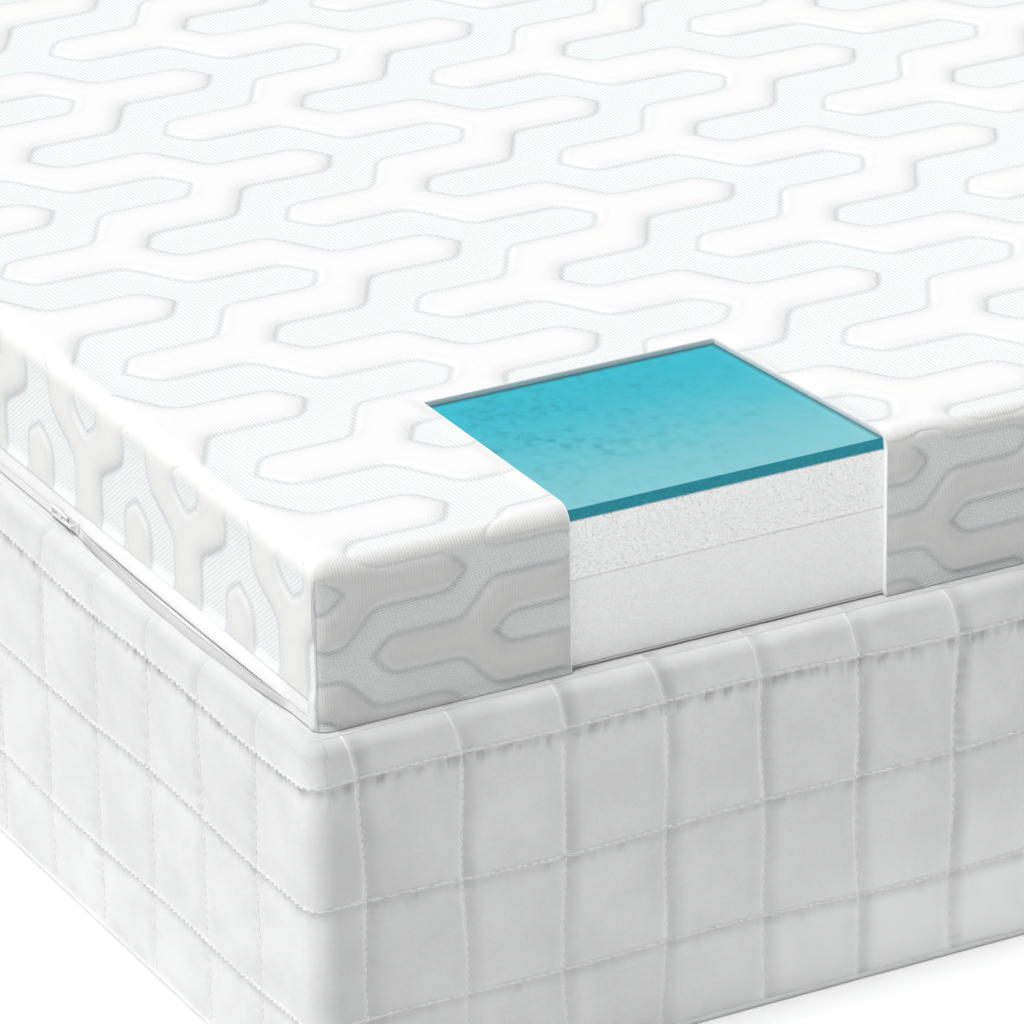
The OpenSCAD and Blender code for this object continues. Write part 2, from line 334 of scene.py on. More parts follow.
def foam_material(name, base, pore_shade, cell, sparkle, bump=0.5 * MM, glow=0.0):
    """Cut foam: crowded cells of two sizes, painted shade in the pores, painted glints, and a painted
    glow for the light scattered inside.
    """
    s = Shade(name, roughness=0.8, specular=0.35, glow=glow)
    point = s.point()
    cells = s.add("ShaderNodeTexVoronoi", inputs=(("Vector", point), ("Scale", 1 / cell)))
    fine = s.add("ShaderNodeTexVoronoi", inputs=(("Vector", point), ("Scale", 2.6 / cell)))
    grain = s.noise(1.7 / cell, 3.0, point)
    # Painted shade in the pores
    colour = s.mix(s.step(grain, 0.56, 0.72) * s.step(fine, 0.1, 0.5), base, pore_shade)
    # Painted glints: white specks, as many as sparkle lets through
    glint = s.step(s.noise(2.3 / cell, 1.0, point), 0.59, 0.67) * sparkle
    return s.finish(s.mix(glint, colour, 1.0), cells + (fine * 0.5 + grain), distance=bump,
                    strength=0.8)


def cut_edge_material():
    """The cover's cut thickness: white knit at the side, greyer wadding along the top."""
    # Painted glow: the cut edge gives off a little light
    s = Shade("cut_edge", roughness=0.85, specular=0.2, glow=0.05)
    z = s.split(s.point())[2]
    fibres = s.noise(900.0, 4.0)
    top = s.step(z, float(knit_hi.z) - 11 * MM, float(knit_hi.z) - 6 * MM)
    grey = s.mix(fibres, (0.80, 0.77, 0.77), (0.90, 0.875, 0.875))
    return s.finish(s.mix(top, (0.93, 0.93, 0.935), grey), fibres, distance=0.4 * MM, strength=0.7)


def gel_material():
    """Blue-green gel sheet: paler towards the long side in a painted reflection with a wavy edge,
    darker in painted shadow where it runs under the cover, and deep in its cut edge.
    """
    s = Shade("gel", roughness=0.35, specular=0.25)
    point = s.point()
    x, y, _ = s.split(point)
    along = x - float(CORNER[0])
    depth = y - float(CORNER[1])
    # Painted reflection: paler towards the long side, its edge wavy
    reflection_wobble = s.noise(14.0, 5.0, point) * 0.6 + s.noise(60.0, 3.0, point) * 0.4
    fade = s.step(depth + reflection_wobble * (60 * MM), 20 * MM, 190 * MM)
    top = s.mix(fade, (0.24, 0.60, 0.66), (0.036, 0.505, 0.615))
    veins = s.step(s.noise(130.0, 8.0, point), 0.40, 0.74) * s.step(s.noise(30.0, 3.0, point), 0.25,
                                                                    0.68)
    to_left = s.step(along, WINDOW_X + WINDOW_L, WINDOW_X) + 0.5
    top = s.mix(veins * s.step(fade, 0.0, 0.8, 0.12, 0.52) * to_left, top, (0.02, 0.31, 0.38))
    # Painted shadow along the window's right-hand and back cuts, where the gel runs in under the cover
    lean = depth * ((WINDOW_FLARE + WINDOW_TAPER) / WINDOW_D)
    to_right = WINDOW_X + WINDOW_L + WINDOW_FLARE - (along + lean)
    to_cover = s.smaller(to_right, WINDOW_D - depth)
    top = s.mix(s.step(to_cover, 6 * MM, 0.5 * MM, 0.0, 0.85), top, (0.008, 0.11, 0.14))
    edge = s.mix(s.step(s.noise(500.0, 2.0, point), 0.35, 0.65), (0.004, 0.28, 0.365),
                 (0.008, 0.33, 0.42))
    up = s.split(s.add("ShaderNodeNewGeometry", out=1))[2]
    s.bsdf["Subsurface Weight"].default_value = 0.15
    s.bsdf["Subsurface Radius"].default_value = (0.002, 0.004, 0.005)
    s.bsdf["Coat Weight"].default_value = 0.05
    return s.finish(s.mix(s.step(up, 0.5, 0.9), edge, top), s.noise(35.0, 3.0, point),
                    distance=0.8 * MM, strength=0.5)


def hard_material(name, grey, roughness):
    """Moulded plastic or enamelled metal with a faintly uneven gloss."""
    s = Shade(name, roughness=roughness, specular=0.5)
    wear = s.noise(900.0, 3.0)
    return s.finish(s.mix(s.step(wear, 0.5, 0.75), grey, 0.86 * grey), wear, distance=0.05 * MM,
                    strength=0.4)


def thread_material():
    """Stitching thread with its twist."""
    s = Shade("thread", roughness=0.6, sheen=0.3, specular=0.4)
    x, y, z = s.split(s.point())
    twist = s.wave(x + y + z, 0.8 * MM)
    return s.finish(s.mix(s.step(twist, -1.0, 1.0), 0.93, 1.0), twist, distance=0.08 * MM)


def floor_material():
    s = Shade("floor", roughness=0.95, specular=0.05)
    return s.finish(s.mix(s.noise(3.0, 2.0), 0.945, 0.955))


KNIT = knit_material()
QUILT = quilt_material()
TOP_CLOTH = woven_material("base_top_cloth", 0.80, 0.85)
PLAIN_CLOTH = woven_material("plain_cloth", 0.66, 0.72, pitch=1.2 * MM)
BINDING = woven_material("binding", 0.80, 0.85, pitch=0.8 * MM)
WADDING = woven_material("wadding", 0.86, 0.93, pitch=3 * MM, mottle=180.0)
CUT_EDGE = cut_edge_material()
# Painted glow: the white tapes give off a little light, so that they read pure white
TAPE_WHITE = tape_material("tape_white", 0.96, 1.0, glow=0.10)
# The lower tape is white; its grey where the zip gapes is painted shade
SHADED_TAPE = tape_material("tape_painted_shade", 0.50, 0.70)
# The foams' glow is painted light
MEMORY_FOAM = foam_material("memory_foam", 0.91, (0.48, 0.48, 0.49), 3.0 * MM, sparkle=1.0,
                            bump=1.3 * MM, glow=0.15)
SUPPORT_FOAM = foam_material("support_foam", 0.94, 0.72, 1.7 * MM, sparkle=0.9, bump=0.7 * MM,
                             glow=0.09)
CORE_FOAM = foam_material("core_foam", (0.74, 0.74, 0.73), 0.55, 2.2 * MM, sparkle=0.2)
GEL = gel_material()
ENAMEL = hard_material("enamel", 0.80, 0.35)
# The upper row's dark grey is painted shade; both rows are the same pale teeth
SHADED_TEETH = hard_material("zip_teeth", 0.42, 0.45)
PALE_TEETH = hard_material("zip_teeth_pale", 0.95, 0.45)
THREAD = thread_material()


# ---------------------------------------------------------------- mesh helpers
def smoothstep(t):
    t = np.clip(t, 0.0, 1.0)
    return t * t * (3 - 2 * t)


def bell(x, width, centre=0.0):
    """1 at the centre, falling towards 0 a width away on both sides."""
    return np.exp(-((x - centre) / width) ** 2)


def unit(vectors):
    return vectors / (np.linalg.norm(vectors, axis=-1)[..., None] + 1e-9)


def spans(start, *stops):
    """Positions from start through each (stop, step), with every stop on a position."""
    line = [start]
    for stop, step in stops:
        count = max(1, round((stop - line[-1]) / step))
        line += list(np.linspace(line[-1], stop, count + 1)[1:])
    return np.array(line)


def grid_quads(rows, columns, closed=False, ring=False):
    """Quads of a grid. If closed, its last column joins its first, and in a ring its rows do too."""
    index = np.arange(rows * columns).reshape(rows, columns)
    if closed:
        index = np.hstack([index, index[:, :1]])
    if ring:
        index = np.vstack([index, index[:1]])
    return np.stack([index[:-1, :-1], index[1:, :-1], index[1:, 1:], index[:-1, 1:]],
                    -1).reshape(-1, 4)


def mesh_object(name, points, quads, material, body, slot, node=None, more_faces=(),
                attributes=()):
    """A mesh piece from arrays, on its body, with its material, in a CAD node's place. slot is not
    used.
    """
    points = np.asarray(points, np.float32).reshape(-1, 3)
    loops = [quads.ravel(), *more_faces]
    sizes = np.array([4] * (quads.size // 4) + [len(face) for face in more_faces])
    mesh = bpy.data.meshes.new(name)
    mesh.vertices.add(len(points))
    mesh.vertices.foreach_set("co", points.ravel())
    mesh.loops.add(int(sizes.sum()))
    mesh.loops.foreach_set("vertex_index", np.concatenate(loops).astype(np.int32))
    mesh.polygons.add(len(sizes))
    mesh.polygons.foreach_set("loop_start", (np.cumsum(sizes) - sizes).astype(np.int32))
    mesh.update(calc_edges=True)
    mesh.validate()
    for key, values in attributes:
        kind, field = ("FLOAT", "value") if values.size == len(points) else ("FLOAT_VECTOR", "vector")
        data = mesh.attributes.new(key, kind, "POINT").data
        data.foreach_set(field, values.astype(np.float32).ravel())
    mesh.polygons.foreach_set("use_smooth", np.ones(len(sizes), bool))
    mesh.materials.append(material)
    piece = bpy.data.objects.new(name, mesh)
    scene.collection.objects.link(piece)
    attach(piece, body)
    if node:
        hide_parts(node)
    return piece


def thicken(piece, thickness, side):
    """Gives a sheet its thickness, on one side of it: 1 or -1."""
    thick = piece.modifiers.new("thickness", "SOLIDIFY")
    thick.thickness = thickness
    thick.offset = side


def rounded_box(name, node, material, slot, corner_r=2 * MM, edge_r=1.2 * MM, body="topper",
                shrink=0.0, lower_top=0.0):
    """A foam or cloth slab in the place of a CAD node, with softened edges and corners."""
    lo, hi = (np.array(corner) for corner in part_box(node))
    lo, hi = lo + (shrink, shrink, 0), hi - (shrink, shrink, lower_top)
    middle, half = (lo + hi) / 2, (hi - lo) / 2
    quarter = np.linspace(0, math.pi / 2, 7)
    turn = quarter + np.arange(4)[:, None] * math.pi / 2
    way = np.stack([np.cos(turn), np.sin(turn)], -1)
    centres = np.array([(1, 1), (-1, 1), (-1, -1), (1, -1)])[:, None] * (half[:2] - corner_r)
    bend = np.linspace(0, math.pi / 2, 5)
    out = edge_r * np.concatenate([[-2], np.sin(bend) - 1, np.cos(bend) - 1, [-2]])
    rise = edge_r * (1 - np.cos(bend))
    height = np.concatenate([[0], rise, 2 * half[2] - rise[::-1], [2 * half[2]]]) + lo[2]
    rings = [(centres + way * (corner_r + o)).reshape(-1, 2) + middle[:2] for o in out]
    points = np.array([np.column_stack([ring, np.full(len(ring), h)])
                       for ring, h in zip(rings, height)])
    rows, columns = points.shape[:2]
    bottom = np.arange(columns)[::-1]
    top = np.arange(columns) + (rows - 1) * columns
    return mesh_object(name, points, grid_quads(rows, columns, closed=True)[:, ::-1], material, body,
                       slot, node, more_faces=[bottom, top])


def capsule(length, radius):
    """Low-poly capsule along x, its middle at 0."""
    rings = [(-0.5, 0.25), (-0.38, 0.9), (0.0, 1.0), (0.38, 0.9), (0.5, 0.25)]
    turn = np.arange(6) * math.pi / 3
    points = [(t * length, radius * w * math.cos(a), radius * w * math.sin(a))
              for t, w in rings for a in turn]
    return np.array(points), grid_quads(len(rings), 6, closed=True)[:, ::-1]


def copies(shape, quads, places):
    """A small mesh at many places. shape is its points, the same for all or one set for each."""
    step = np.arange(len(places))[:, None, None] * shape.shape[-2]
    return shape + places[:, None], quads + step


# ---------------------------------------------------------------- knitted rib pattern
def rib_outline(pitch_x, pitch_y, turn):
    """Half a period of the wavy edge of a rib, from a tip to the next hollow, corners rounded."""
    corners = np.array([(0, 0), (-0.065, 1 / 8), (-0.38, 1 / 8), (-0.51, 3 / 8), (-0.815, 3 / 8),
                        (-0.88, 1 / 2)]) * (pitch_x, pitch_y)
    line = [corners[0]]
    for before, corner, after in zip(corners, corners[1:], corners[2:]):
        enter = corner + (before - corner) * min(0.45, turn / np.linalg.norm(before - corner))
        leave = corner + (after - corner) * min(0.45, turn / np.linalg.norm(after - corner))
        for t in np.linspace(0, 1, 4):
            line.append((1 - t) ** 2 * enter + 2 * t * (1 - t) * corner + t * t * leave)
    line.append(corners[-1])
    return np.array(line)


def rib_distance(x, y, tip, pitch_x, pitch_y, turn):
    """Signed distance to the nearest rib edge, positive on a rib. tip is where one rib's tip is."""
    x = x - tip[0]
    y = y - tip[1]
    line = rib_outline(pitch_x, pitch_y, turn)
    y = np.abs((y + pitch_y / 2) % pitch_y - pitch_y / 2)
    edge = np.interp(y, line[:, 1] + 1e-9 * np.arange(len(line)), line[:, 0])
    raised = (edge - x) % pitch_x < pitch_x / 2
    x = x % (pitch_x / 2)
    nearest_edge = np.full(x.shape, 1e9)
    for (ax, ay), (bx, by) in zip(line, line[1:]):
        dx, dy = bx - ax, by - ay
        for shift in range(4):
            ox = x - (ax + shift * pitch_x / 2)
            oy = y - ay
            along = np.clip((ox * dx + oy * dy) / (dx * dx + dy * dy), 0, 1)
            nearest_edge = np.minimum(nearest_edge, np.hypot(ox - along * dx, oy - along * dy))
    return np.where(raised, nearest_edge, -nearest_edge)


def top_ribs(x, y):
    return rib_distance(x, y, (298.5 * MM, 564 * MM), 193 * MM, 173.5 * MM, 9 * MM)


def near_ribs(x, z):
    return rib_distance(x, z, (94 * MM, 80 * MM), 148.4 * MM, 84.4 * MM, 6 * MM)


def foot_ribs(z, y):
    return rib_distance(z, y, (52.7 * MM, 95.5 * MM), 150 * MM, 133.5 * MM, 8 * MM)


def rib_height(rib, crest, width):
    """Height of the cloth over its base surface: domed ribs, a sunk ground and a stitched line."""
    rise = np.clip(rib / width, 0, 1)
    dome = crest * np.sqrt(1 - (1 - rise) ** 2)
    ground = -0.7 * MM * (1 - np.exp(np.minimum(rib, 0) / (3 * MM)))
    return dome + ground - 0.6 * MM * bell(rib, 1.4 * MM) - 1.2 * MM


# ---------------------------------------------------------------- topper cover
TOP_RIB = (1.6 * MM, 17 * MM)       # a rib's crest, and how far in from its edge that is
NEAR_RIB = (2.2 * MM, 11 * MM)
FOOT_RIB = (1.7 * MM, 13 * MM)
FINE = 2.5 * MM                     # grid steps, fine as far as FINE_X and FINE_Y
COARSE = 5 * MM
FINE_X = 980 * MM
FINE_Y = 1150 * MM
SQUEEZE = 40 * MM                   # the sides' columns lean towards a corner from here
UPRIGHT_R = 9 * MM
ZIP_END = 9 * MM                    # knit runs down to the hem this near the foot corners


def window_lean(x, y):
    """How far the cloth beside the window's right-hand cut is shifted, so that the cut leans."""
    share = np.clip(y / WINDOW_D, 0, 1)
    near_cut = smoothstep(1 - np.abs(x - WINDOW_X - WINDOW_L) / (70 * MM))
    beyond = smoothstep(1 - (y - WINDOW_D) / (120 * MM))
    return (WINDOW_FLARE - (WINDOW_FLARE + WINDOW_TAPER) * share) * near_cut * beyond


class Patch:
    """Part of the cover as a grid: base points, normals, cloth coordinates and rib distances."""

    def __init__(self, base, normal, cloth, rib, blend, crest, width, fade):
        self.base = base + CORNER
        self.normal = normal
        self.shape = rib.shape
        x, y = cloth[..., 0], cloth[..., 1]
        slack = 0.35 * MM * np.sin(x * 23 + 1.3) * np.sin(y * 31 + 0.4)
        past = np.maximum(np.abs(x - WINDOW_X - WINDOW_L / 2) - WINDOW_L / 2, y - WINDOW_D)
        calm = smoothstep(past / (9 * MM))
        relief = (rib_height(rib, crest, width) + slack) * (1 - 0.75 * blend[..., 2])
        lift = (relief * calm - 0.8 * MM * (1 - calm)) * fade
        self.base[..., 0] += window_lean(x, y)
        self.points = self.base + normal * lift[..., None]
        self.table = np.concatenate([self.points, cloth, blend, rib[..., None]], -1).reshape(-1, 10)


def round_corner(inset, to_start, to_end):
    """Rounds the upright corners: how far the cloth moves along and inwards, and its turn there."""
    radius = np.maximum(UPRIGHT_R - inset, 1e-6)
    turn_start = math.pi / 4 * np.clip(1 - to_start / radius, 0, 1)
    turn_end = math.pi / 4 * np.clip(1 - to_end / radius, 0, 1)
    turn = turn_start + turn_end
    slide = np.where(turn_start > 0, radius * (1 - np.sin(turn)) - to_start, 0)
    slide = slide - np.where(turn_end > 0, radius * (1 - np.sin(turn)) - to_end, 0)
    return slide, radius * (1 - np.cos(turn)), turn_end - turn_start


def rolled(inward):
    """1 where the cloth is drawn tight over the rolled edge, and 0 away from it on both sides."""
    return bell(inward, 11 * MM, 1 * MM)


def squeeze(along, inset):
    """Leans the columns near a corner, so that they start at the row's inset."""
    share = (SQUEEZE - inset) / (SQUEEZE - EDGE_R)
    return np.where(along < SQUEEZE, inset + (along - EDGE_R) * share, along)


def side_rows():
    """Rows of a cover side from its hem to the top patch: inset, height, drop from the top, turn."""
    wall = TOPPER_T - EDGE_R
    upright = spans(HEM_Z, (ZIP_HEM_Z, FINE), (wall, FINE))[:-1]
    arc = np.linspace(0, math.pi / 2, 9)
    turn = np.concatenate([0 * upright, arc])
    height = np.concatenate([upright, wall + EDGE_R * np.sin(arc)])
    drop = np.maximum(wall - height, 0) + EDGE_R * (math.pi / 2 - turn)
    return EDGE_R * (1 - np.cos(turn)), height, drop, turn


def cover_side(along, length, width, side, far=False, calm_below=HEM_Z):
    """One side of the cover and its rolled top edge. side is "near" (runs in x) or "foot" (in y)."""
    rows = [row[:, None] for row in side_rows()]
    back = length - along
    run = np.where(back < SQUEEZE, length - squeeze(back, rows[0]), squeeze(along, rows[0]))
    inset, height, drop, turn = (np.broadcast_to(row, run.shape) for row in rows)
    across = width - inset if far else inset
    unrolled = width - EDGE_R + drop if far else EDGE_R - drop
    sign = 1 if far else -1
    lift_side = TOPPER_T - EDGE_R + EDGE_R * math.pi / 2 - drop
    share = smoothstep(1 - turn / (math.pi / 2))
    slide, sink, swing = round_corner(inset, run - inset, length - inset - run)
    zero = np.zeros(run.shape)
    parts = ((run + slide, across - sign * sink, height),
             (np.cos(turn) * np.sin(swing), sign * np.cos(turn) * np.cos(swing), np.sin(turn)),
             (run, unrolled, zero),
             (share, zero, rolled(EDGE_R - drop)))
    order = [0, 1, 2] if side == "near" else [1, 0, 2]
    base, normal, cloth, blend = (np.stack(part, -1)[..., order] for part in parts)
    own = near_ribs(run, lift_side) if side == "near" else foot_ribs(lift_side, run)
    own_rib = NEAR_RIB if side == "near" else FOOT_RIB
    over = top_ribs(cloth[..., 0], cloth[..., 1])
    # The top's pattern turns into the side's own over the rolled edge
    rib, crest, rib_w = (top + (mine - top) * share for top, mine in
                         ((over, own), *zip(TOP_RIB, own_rib)))
    fade = smoothstep(np.minimum(run - inset, length - inset - run) / (6 * MM))
    fade = fade * smoothstep((height - calm_below) / (5 * MM))
    return Patch(base, normal, cloth, rib, blend, crest, rib_w, fade)


def cover_top(xs, ys):
    x, y = np.meshgrid(xs, ys)
    zero = np.zeros(x.shape)
    to_x = np.minimum(x - EDGE_R, TOPPER_L - EDGE_R - x)
    to_y = np.minimum(y - EDGE_R, TOPPER_W - EDGE_R - y)
    fade = smoothstep(np.maximum(to_x, to_y) / (6 * MM))
    blend = np.stack([zero, zero, rolled(np.minimum(to_x, to_y) + EDGE_R)], -1)
    return Patch(np.stack([x, y, zero + TOPPER_T], -1), np.broadcast_to(UP, (*x.shape, 3)),
                 np.stack([x, y, zero], -1), top_ribs(x, y), blend, *TOP_RIB, fade)


def cut_away(x, y):
    """The window, and the strip along the foot where the zip tape shows in place of the knit."""
    window = (x > WINDOW_X) & (x < WINDOW_X + WINDOW_L) & (y < WINDOW_D)
    hem = ZIP_HEM_Z - TOPPER_T + (2 - math.pi / 2) * EDGE_R
    return window | ((x < hem) & (np.minimum(y, TOPPER_W - y) > ZIP_END))


def make_cover():
    xs = spans(EDGE_R, (WINDOW_X, FINE), (WINDOW_X + WINDOW_L, FINE), (FINE_X, FINE),
               (TOPPER_L - EDGE_R, COARSE))
    ys = spans(EDGE_R, (WINDOW_D, FINE), (FINE_Y, FINE), (TOPPER_W - EDGE_R, COARSE))
    top = cover_top(xs, ys)
    near = cover_side(xs, TOPPER_L, TOPPER_W, "near")
    far = cover_side(xs, TOPPER_L, TOPPER_W, "near", far=True)
    foot = cover_side(ys, TOPPER_W, TOPPER_L, "foot", calm_below=ZIP_HEM_Z)
    head = cover_side(ys, TOPPER_W, TOPPER_L, "foot", far=True)
    patches = ((top, -1), (near, -1), (far, 1), (foot, 1), (head, -1))
    table = np.concatenate([patch.table for patch, _ in patches])
    quads, start = [], 0
    for patch, way in patches:
        quads.append(grid_quads(*patch.shape)[:, ::way] + start)
        start += len(patch.table)
    quads = np.concatenate(quads)
    quads = quads[~cut_away(*table[quads, 3:5].mean(1).T)]
    grain = 1e-6
    _, first, weld = np.unique(np.round(table[:, :3] / grain).astype(np.int64), axis=0,
                               return_index=True, return_inverse=True)
    used, quads = np.unique(weld.reshape(-1)[quads], return_inverse=True)
    points, cloth, blend, rib = np.split(table[first[used]], (3, 6, 9), axis=1)
    cover = mesh_object("knitted_cover", points, quads, KNIT, "topper", "cover_knit", "cover_knit",
                        attributes=[("rib", rib), ("cloth", cloth), ("blend", blend)])
    side = TOPPER_T - HEM_Z + EDGE_R * (math.pi / 2 - 1)
    flat = (TOPPER_L + 2 * side - 2 * EDGE_R, TOPPER_W + 2 * side - 2 * EDGE_R)
    area = flat[0] * flat[1] - 4 * side * side - WINDOW_L * (WINDOW_D + side)
    make_cut_edge(xs, ys, top, near)


def make_cut_edge(xs, ys, top, near):
    """The cover's thickness, seen where the display window is cut."""
    first, last = (int(np.argmin(np.abs(xs - cut))) for cut in (WINDOW_X, WINDOW_X + WINDOW_L))
    back = int(np.argmin(np.abs(ys - WINDOW_D)))
    near, top = (np.stack([patch.base, patch.normal, patch.points]) for patch in (near, top))
    path, normals, outer = np.concatenate(
        [near[:, :, first], top[:, 1:back, first], top[:, back, first:last + 1],
         top[:, back - 1:0:-1, last], near[:, ::-1, last]], axis=1)
    inner = path - normals * (COVER_T - 0.2 * MM)
    into = unit((path.mean(0) - path) * (1, 1, 0))
    rows = [outer + (inner - outer) * t + into * (0.25 * MM * math.sin(math.pi * t))
            for t in np.linspace(0, 1, 7)]
    band = mesh_object("cover_cut_edge", rows, grid_quads(len(rows), len(path)), CUT_EDGE,
                       "topper", "wadding", "cover_wadding")
    thicken(band, 0.5 * MM, 1)


make_cover()


# ---------------------------------------------------------------- topper foams
def make_foams():
    for name, node, material, slot, edge_r, lower_top in (
            ("gel_sheet", "gel_layer", GEL, "gel", 0.6 * MM, -0.8 * MM),
            ("memory_foam_slab", "memory_foam_layer", MEMORY_FOAM, "memory_foam", 1.2 * MM, 0.0),
            ("support_foam_slab", "support_foam_layer", SUPPORT_FOAM, "topper_support_foam",
             1.2 * MM, 0.0)):
        rounded_box(name, node, material, slot, edge_r=edge_r, lower_top=lower_top)
    under = rounded_box("topper_underside_cloth", "cover_base_cloth", PLAIN_CLOTH, "lining",
                        edge_r=0.6 * MM, shrink=COVER_T - 0.3 * MM)


make_foams()


# ---------------------------------------------------------------- quilted base tier
ROW_DEPTHS = (178 * MM, 102 * MM, 26 * MM)   # quilting rows below the top of the base
SHOULDER_R = 8 * MM
TURN_IN = 9 * MM                             # how far the border cloth runs in on the top
FRONT_SEAM = 33 * MM                         # from the base's corner to the first upright seam
SIDE_SEAM = 67 * MM
FRONT_CELLS = 31
SIDE_CELLS = 20
CROWN = 2.4 * MM
SIDE_TOP = BASE_H - SHOULDER_R + SHOULDER_R * math.pi / 2    # unrolled height of the flat top
ROW_HEIGHTS = np.array([0, *[BASE_H - depth for depth in ROW_DEPTHS], SIDE_TOP + TURN_IN])


class Outline:
    """The base tier's rounded outline by arc length, from the near foot corner along +X."""

    def __init__(self):
        r = BASE_CORNER_R
        self.straights = np.array([BASE_L - 2 * r, BASE_W - 2 * r] * 2)
        self.starts = np.concatenate([[0], np.cumsum(self.straights + r * math.pi / 2)])
        self.length = self.starts[-1]
        half = np.array([BASE_L / 2 - r, BASE_W / 2 - r])
        self.centres = half * np.array([(1, -1), (1, 1), (-1, 1), (-1, -1)])

    def at(self, s):
        """Points and outward normals at arc lengths s."""
        s = s % self.length
        side = np.searchsorted(self.starts[:-1], s, side="right") - 1
        past = s - self.starts[side]
        straight = self.straights[side]
        bend = np.clip((past - straight) / BASE_CORNER_R, 0, math.pi / 2)
        angle = side * math.pi / 2 - math.pi / 2 + bend
        normal = np.stack([np.cos(angle), np.sin(angle)], -1)
        along = np.stack([np.cos(side * math.pi / 2), np.sin(side * math.pi / 2)], -1)
        back = np.minimum(past, straight) - straight
        return self.centres[side] + along * back[..., None] + normal * BASE_CORNER_R, normal

    def seams(self):
        """Arc lengths of the upright seams, all round."""
        sides = [(FRONT_SEAM, FRONT_CELLS, BASE_L), (SIDE_SEAM, SIDE_CELLS, BASE_W)] * 2
        return np.concatenate([
            start + np.linspace(first, reach - first, count + 1) - BASE_CORNER_R
            for start, (first, count, reach) in zip(self.starts, sides)])


OUTLINE = Outline()
SEAMS = OUTLINE.seams()
HALF_WAY = OUTLINE.length / 2       # past this, on the far side and the foot, seams are mirrored


def around(s, pitch):
    """Phase at arc length s of waves of about this pitch that close up round the base."""
    return s * (2 * math.pi / OUTLINE.length) * round(OUTLINE.length / pitch)


def wander(slow, fast, phase, size):
    """Hand-sewn drift of a seam, from a slow and a fast phase."""
    return size * (np.sin(slow + phase) + 0.6 * np.sin(fast + 2.1 * phase))


def seam_place(k):
    """Arc length of upright seam k before it drifts. k may run on past the last one, or back."""
    return SEAMS[k % len(SEAMS)] + OUTLINE.length * (k // len(SEAMS))


def seam_drift(k, height):
    """How far seam k drifts at a height. It also slants above the top row."""
    k = k % len(SEAMS)
    slant = 5 * MM * smoothstep((height - (BASE_H - ROW_DEPTHS[-1])) / (30 * MM))
    slant = slant * np.where(SEAMS[k] < HALF_WAY, -1, 1)
    return wander(height * 18, height * 54, k * 1.7, 1.4 * MM) + slant


def seam_line(k, height):
    return seam_place(k) + seam_drift(k, height)


def row_drift(i, s):
    """How far quilting row i, counted from 1, drifts at arc length s. The cloth's edges don't."""
    drift = wander(around(s, 0.7), around(s, 0.23), (i - 1) * 2.9 + 0.4, 2.0 * MM)
    return drift if 0 < i < 4 else 0 * s


def row_line(i, s):
    return ROW_HEIGHTS[i] + row_drift(i, s)


def pillow_tile(cells_x, cells_z, samples):
    """Cloth simulation of a few quilt cells: pinned on its seams, cut a little large, and lifted.

    Returns the cells' displacements, as (cell, row, column, xyz) in metres.
    """
    step = 70 * MM / samples
    nx, nz = cells_x * samples + 1, cells_z * samples + 1
    column, row = np.meshgrid(np.arange(nx), np.arange(nz))
    rest = np.stack([column * step, row * step, 0 * row], -1).reshape(-1, 3)
    on_seam = ((column % samples == 0) | (row % samples == 0)).reshape(-1)
    rng = np.random.default_rng(11)
    start = rest.copy()
    start[:, 2] += np.where(on_seam, 0, 0.3 * MM + 0.25 * MM * rng.standard_normal(len(rest)))
    mesh = bpy.data.meshes.new("tile")
    mesh.from_pydata(start.tolist(), [], grid_quads(nz, nx)[:, ::-1].tolist())
    tile = bpy.data.objects.new("tile", mesh)
    scene.collection.objects.link(tile)
    pins = tile.vertex_groups.new(name="pins")
    pins.add(np.flatnonzero(on_seam).tolist(), 1.0, "ADD")
    cloth = tile.modifiers.new("cloth", "CLOTH")
    for name, value in (("quality", 6), ("mass", 0.25), ("tension_stiffness", 30),
                        ("compression_stiffness", 30), ("shear_stiffness", 12),
                        ("bending_stiffness", 0.06), ("vertex_group_mass", "pins"),
                        ("shrink_min", -0.035), ("shrink_max", -0.035)):
        setattr(cloth.settings, name, value)
    cloth.settings.effector_weights.gravity = -0.6
    cloth.collision_settings.use_collision = False
    frames = 26
    cloth.point_cache.frame_start = 1
    cloth.point_cache.frame_end = frames
    for number in range(1, frames + 1):
        scene.frame_set(number)
    posed = tile.evaluated_get(bpy.context.evaluated_depsgraph_get()).to_mesh()
    moved = np.empty(len(rest) * 3, np.float32)
    posed.vertices.foreach_get("co", moved)
    shift = (moved.reshape(-1, 3).astype(float) - rest).reshape(nz, nx, 3)
    bpy.data.objects.remove(tile)
    scene.frame_set(1)
    return np.array([shift[j * samples:(j + 1) * samples + 1, i * samples:(i + 1) * samples + 1]
                     for j in range(cells_z) for i in range(cells_x)])


TILE_SAMPLES = 30
TILE = pillow_tile(5, 3, TILE_SAMPLES)
TILE[..., 2] *= CROWN / np.percentile(TILE[..., 2], 97)


def tile_shift(cell, a, b):
    """Displacement inside a cell, at shares a and b of its width and height."""
    which = cell % len(TILE)
    flip = (cell // len(TILE)) % 2 == 1
    a = np.where(flip, 1 - a, a)
    fa, fb = np.clip(a, 0, 1) * TILE_SAMPLES, np.clip(b, 0, 1) * TILE_SAMPLES
    i, j = (np.minimum(f.astype(int), TILE_SAMPLES - 1) for f in (fa, fb))
    u, v = (fa - i)[..., None], (fb - j)[..., None]
    low = TILE[which, j, i] * (1 - u) + TILE[which, j, i + 1] * u
    high = TILE[which, j + 1, i] * (1 - u) + TILE[which, j + 1, i + 1] * u
    shift = low * (1 - v) + high * v
    return np.where(flip, -1, 1) * shift[..., 0], shift[..., 1], shift[..., 2]


